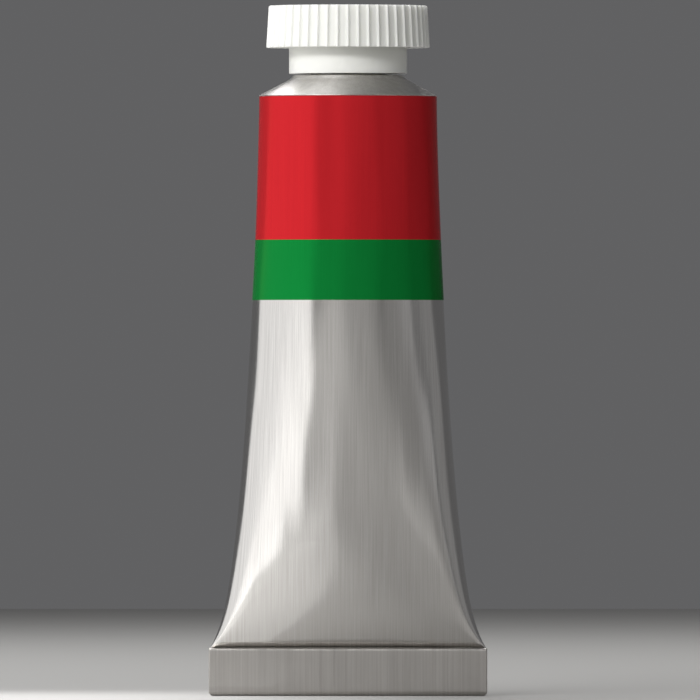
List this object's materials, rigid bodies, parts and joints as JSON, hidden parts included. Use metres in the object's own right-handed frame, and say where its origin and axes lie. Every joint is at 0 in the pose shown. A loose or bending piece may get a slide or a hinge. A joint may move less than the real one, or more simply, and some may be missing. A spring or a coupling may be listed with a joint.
{
  "type": "paint tube",
  "caption": "Small collapsible aluminium paint tube, folded flat at its lower end, with colour bands round the sleeve and a fluted white cap that unscrews from a threaded nozzle.",
  "frame": {"origin": "middle of the lower edge of the folded end", "axes": "+Z along the tube's axis towards the cap, X along the folded end, -Y towards the side that carries the folded flap, which is the front"},
  "size_m": [0.0298, 0.019, 0.0741],
  "materials": {
    "bare_aluminium": "satin",
    "red_enamel": "satin",
    "green_enamel": "satin",
    "white_polypropylene": "satin",
    "white_foam": "matte",
    "latex_sealant": "matte",
    "red_paint": "gloss"
  },
  "bodies": {
    "tube": {"aluminium_tube": "bare_aluminium", "end_sealant": "latex_sealant", "paint_fill": "red_paint", "red_print_band": "red_enamel", "green_print_band": "green_enamel"},
    "liner": {"cap_liner": "white_foam"},
    "cap": {"cap_shell": "white_polypropylene"}
  },
  "joints": [
    {"name": "cap_lift", "type": "slide", "parent": "tube", "child": "liner", "axis": [0, 0, 1], "range_m": [0, 0.0075]},
    {"name": "cap_turn", "type": "hinge", "parent": "liner", "child": "cap", "pos_m": [0, 0, 0.0714], "axis": [0, 0, 1], "range_deg": [0, 1800]}
  ],
  "couplings": [
    {"joint": "cap_turn", "follows": "cap_lift", "rad_per_m": 4188.8}
  ]
}
